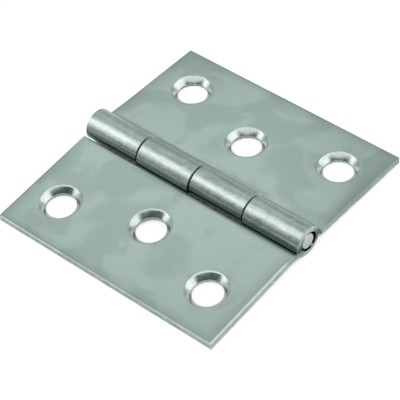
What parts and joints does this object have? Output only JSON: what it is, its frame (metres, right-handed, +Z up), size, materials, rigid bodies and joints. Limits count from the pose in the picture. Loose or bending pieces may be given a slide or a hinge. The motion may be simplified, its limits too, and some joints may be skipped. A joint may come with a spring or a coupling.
{
  "type": "butt hinge",
  "caption": "Pressed steel butt hinge: flat leaves with countersunk screw holes and rolled knuckles on a round steel pin, lying open.",
  "frame": {"origin": "under the middle of the pin, on the surface that the opened hinge lies on", "axes": "+X along the pin, +Y towards the outer edge of the door leaf, +Z up, out of the countersunk faces"},
  "size_m": [0.05, 0.0534, 0.006],
  "materials": {
    "leaf_zinc": "satin bright zinc plate on rolled sheet",
    "pin_steel": "drawn steel, zinc plated, cropped ends"
  },
  "bodies": {
    "frame_side": {"frame_leaf": "leaf_zinc", "hinge_pin": "pin_steel"},
    "door_side": {"door_leaf": "leaf_zinc"}
  },
  "joints": [
    {"name": "leaf_swing", "type": "hinge", "parent": "frame_side", "child": "door_side", "pos_m": [0, 0, 0.003], "axis": [1, 0, 0], "range_deg": [-83, 186.6]}
  ]
}
